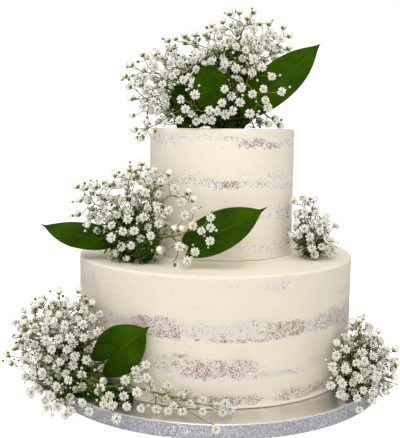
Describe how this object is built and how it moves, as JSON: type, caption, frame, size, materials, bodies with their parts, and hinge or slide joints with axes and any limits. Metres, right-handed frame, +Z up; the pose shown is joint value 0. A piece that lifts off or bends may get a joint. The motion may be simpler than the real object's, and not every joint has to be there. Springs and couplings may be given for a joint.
{
  "type": "tiered wedding cake",
  "caption": "Tiered semi-naked wedding cake on a round foil drum, trimmed with bunches of small white flowers and broad green leaves.",
  "frame": {"origin": "centre of the drum's underside, on the lower tier's axis", "axes": "+Z up through the tiers; -Y is the side the cake is seen from, with the long leaf of the top bunch on +X"},
  "size_m": [0.3312, 0.3073, 0.3294],
  "materials": {
    "silver_foil": "satin silver foil over board",
    "glitter_foil": "fine silver glitter foil",
    "sponge": "pale crumb under a scraped skin of buttercream",
    "buttercream": "scraped buttercream, satin",
    "leaf": "waxy leaf, satin",
    "blossom": "matt white petals on thin green stems",
    "stem": "matt green stems and buds"
  },
  "bodies": {
    "root": {"cake_drum": "silver_foil", "drum_edge_band": "glitter_foil", "lower_sponge_1": "sponge", "lower_cream_1": "buttercream", "lower_sponge_2": "sponge", "lower_cream_2": "buttercream", "lower_sponge_3": "sponge", "lower_cream_3": "buttercream", "lower_sponge_4": "sponge", "lower_cream_4": "buttercream", "upper_sponge_1": "sponge", "upper_cream_1": "buttercream", "upper_sponge_2": "sponge", "upper_cream_2": "buttercream", "upper_sponge_3": "sponge", "upper_cream_3": "buttercream", "upper_sponge_4": "sponge", "upper_cream_4": "buttercream", "leaf_top_right": "leaf", "leaf_top_centre": "leaf", "leaf_top_left": "leaf", "leaf_shelf_left": "leaf", "leaf_shelf_right": "leaf", "leaf_foot_left": "leaf", "bunch_top": "blossom", "bunch_shelf_left": "blossom", "bunch_shelf_right": "blossom", "bunch_foot_left": "blossom", "bunch_foot_right": "blossom"}
  },
  "joints": []
}
